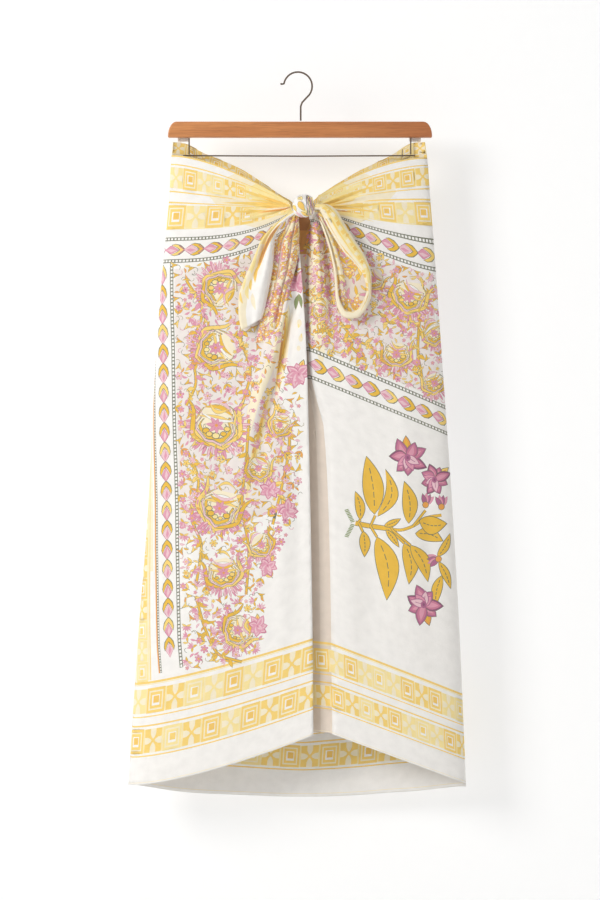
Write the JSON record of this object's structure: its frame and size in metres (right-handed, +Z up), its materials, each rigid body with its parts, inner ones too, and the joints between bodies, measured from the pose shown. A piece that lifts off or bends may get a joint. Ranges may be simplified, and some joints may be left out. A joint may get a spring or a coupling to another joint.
{
  "type": "knotted sarong on a wooden trouser hanger",
  "caption": "Printed cotton tube sarong knotted at the front, with a tail and a loop, hung flat from a wooden trouser hanger by its hook.",
  "frame": {"origin": "the point inside the crown of the hanger's hook that rests on a rail", "axes": "+Z up, +X to the viewer's right, the front of the garment faces -Y"},
  "size_m": [0.4862, 0.0953, 1.0497],
  "materials": {
    "printed_cotton": "soft plain-weave cotton, block printed in yellow, pink and grey-green",
    "cotton_tape": "white woven tape",
    "bar_wood": "satin varnished warm brown wood",
    "steel_wire": "dull bent steel wire"
  },
  "bodies": {
    "root": {"front_left_panel": "printed_cotton", "front_right_panel": "printed_cotton", "back_panel": "printed_cotton", "centre_pleat": "printed_cotton", "left_tail": "printed_cotton", "left_drape": "printed_cotton", "right_drape": "printed_cotton", "right_loop": "printed_cotton", "loop_inside": "printed_cotton", "knot": "printed_cotton", "left_tape": "cotton_tape", "right_tape": "cotton_tape", "hanger_bar": "bar_wood", "hanger_hook": "steel_wire", "rail_wire": "steel_wire", "left_post": "steel_wire", "right_post": "steel_wire"}
  },
  "joints": []
}
